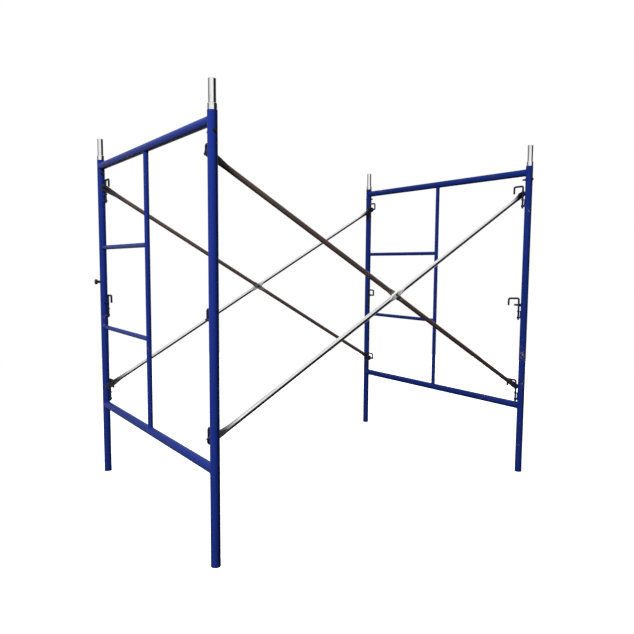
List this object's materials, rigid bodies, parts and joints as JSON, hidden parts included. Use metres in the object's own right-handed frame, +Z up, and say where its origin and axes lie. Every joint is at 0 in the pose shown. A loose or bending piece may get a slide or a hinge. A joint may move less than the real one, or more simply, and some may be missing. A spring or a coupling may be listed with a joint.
{
  "type": "frame scaffold section",
  "caption": "Scaffold section of two blue welded end frames joined by riveted cross braces, with coupling pins on the legs and hooked locks on the brace studs.",
  "frame": {"origin": "on the ground, midway between the four legs", "axes": "+X along the bay from the left frame to the right, +Y across the frames from front to rear (the rungs are in the rear half), +Z up"},
  "size_m": [2.2069, 1.5794, 2.057],
  "materials": {
    "frame_blue": "blue enamel over steel, worn and scuffed",
    "fitting_blue": "blue enamel, chipped at the edges",
    "pin_zinc": "bright zinc plate with light scuffs",
    "brace_bright": "bright galvanised tube",
    "brace_dull": "weathered galvanised tube, darkened",
    "lock_dark": "dark bent steel rod, semi-gloss",
    "fastener_dark": "blackened steel"
  },
  "bodies": {
    "scaffold": {"leg_left_front": "frame_blue", "leg_left_rear": "frame_blue", "header_left": "frame_blue", "bottom_rail_left": "frame_blue", "inner_post_left": "frame_blue", "rung_lower_left": "frame_blue", "rung_upper_left": "frame_blue", "leg_right_front": "frame_blue", "leg_right_rear": "frame_blue", "header_right": "frame_blue", "bottom_rail_right": "frame_blue", "inner_post_right": "frame_blue", "rung_lower_right": "frame_blue", "rung_upper_right": "frame_blue", "coupling_pin_left_front": "pin_zinc", "coupling_pin_left_rear": "pin_zinc", "coupling_pin_right_front": "pin_zinc", "coupling_pin_right_rear": "pin_zinc", "studs_left_front": "fitting_blue", "studs_left_rear": "fitting_blue", "studs_right_front": "fitting_blue", "studs_right_rear": "fitting_blue", "lock_bracket_top_left_front": "fitting_blue", "lock_bracket_spare_left_front": "fitting_blue", "lock_bracket_bottom_left_front": "fitting_blue", "lock_bracket_top_left_rear": "fitting_blue", "lock_bracket_spare_left_rear": "fitting_blue", "lock_bracket_bottom_left_rear": "fitting_blue", "lock_bracket_top_right_front": "fitting_blue", "lock_bracket_spare_right_front": "fitting_blue", "lock_bracket_bottom_right_front": "fitting_blue", "lock_bracket_top_right_rear": "fitting_blue", "lock_bracket_spare_right_rear": "fitting_blue", "lock_bracket_bottom_right_rear": "fitting_blue", "brace_rising_front": "brace_bright", "brace_falling_front": "brace_dull", "brace_rising_rear": "brace_bright", "brace_falling_rear": "brace_dull", "brace_rivets": "fastener_dark", "pin_bolts": "fastener_dark", "pin_nuts": "fastener_dark", "side_bolt": "fastener_dark"},
    "lock_top_left_front": {"cane_lock_top_left_front": "lock_dark"},
    "lock_spare_left_front": {"cane_lock_spare_left_front": "lock_dark"},
    "lock_bottom_left_front": {"cane_lock_bottom_left_front": "lock_dark"},
    "lock_top_left_rear": {"cane_lock_top_left_rear": "lock_dark"},
    "lock_spare_left_rear": {"cane_lock_spare_left_rear": "lock_dark"},
    "lock_bottom_left_rear": {"cane_lock_bottom_left_rear": "lock_dark"},
    "lock_top_right_front": {"cane_lock_top_right_front": "lock_dark"},
    "lock_spare_right_front": {"cane_lock_spare_right_front": "lock_dark"},
    "lock_bottom_right_front": {"cane_lock_bottom_right_front": "lock_dark"},
    "lock_top_right_rear": {"cane_lock_top_right_rear": "lock_dark"},
    "lock_spare_right_rear": {"cane_lock_spare_right_rear": "lock_dark"},
    "lock_bottom_right_rear": {"cane_lock_bottom_right_rear": "lock_dark"}
  },
  "joints": [
    {"name": "lift_top_left_front", "type": "slide", "parent": "scaffold", "child": "lock_top_left_front", "axis": [0, 0, 1], "range_m": [0, 0.03]},
    {"name": "lift_spare_left_front", "type": "slide", "parent": "scaffold", "child": "lock_spare_left_front", "axis": [0, 0, 1], "range_m": [0, 0.03]},
    {"name": "lift_bottom_left_front", "type": "slide", "parent": "scaffold", "child": "lock_bottom_left_front", "axis": [0, 0, 1], "range_m": [0, 0.03]},
    {"name": "lift_top_left_rear", "type": "slide", "parent": "scaffold", "child": "lock_top_left_rear", "axis": [0, 0, 1], "range_m": [0, 0.03]},
    {"name": "lift_spare_left_rear", "type": "slide", "parent": "scaffold", "child": "lock_spare_left_rear", "axis": [0, 0, 1], "range_m": [0, 0.03]},
    {"name": "lift_bottom_left_rear", "type": "slide", "parent": "scaffold", "child": "lock_bottom_left_rear", "axis": [0, 0, 1], "range_m": [0, 0.03]},
    {"name": "lift_top_right_front", "type": "slide", "parent": "scaffold", "child": "lock_top_right_front", "axis": [0, 0, 1], "range_m": [0, 0.03]},
    {"name": "lift_spare_right_front", "type": "slide", "parent": "scaffold", "child": "lock_spare_right_front", "axis": [0, 0, 1], "range_m": [0, 0.03]},
    {"name": "lift_bottom_right_front", "type": "slide", "parent": "scaffold", "child": "lock_bottom_right_front", "axis": [0, 0, 1], "range_m": [0, 0.03]},
    {"name": "lift_top_right_rear", "type": "slide", "parent": "scaffold", "child": "lock_top_right_rear", "axis": [0, 0, 1], "range_m": [0, 0.03]},
    {"name": "lift_spare_right_rear", "type": "slide", "parent": "scaffold", "child": "lock_spare_right_rear", "axis": [0, 0, 1], "range_m": [0, 0.03]},
    {"name": "lift_bottom_right_rear", "type": "slide", "parent": "scaffold", "child": "lock_bottom_right_rear", "axis": [0, 0, 1], "range_m": [0, 0.03]}
  ]
}
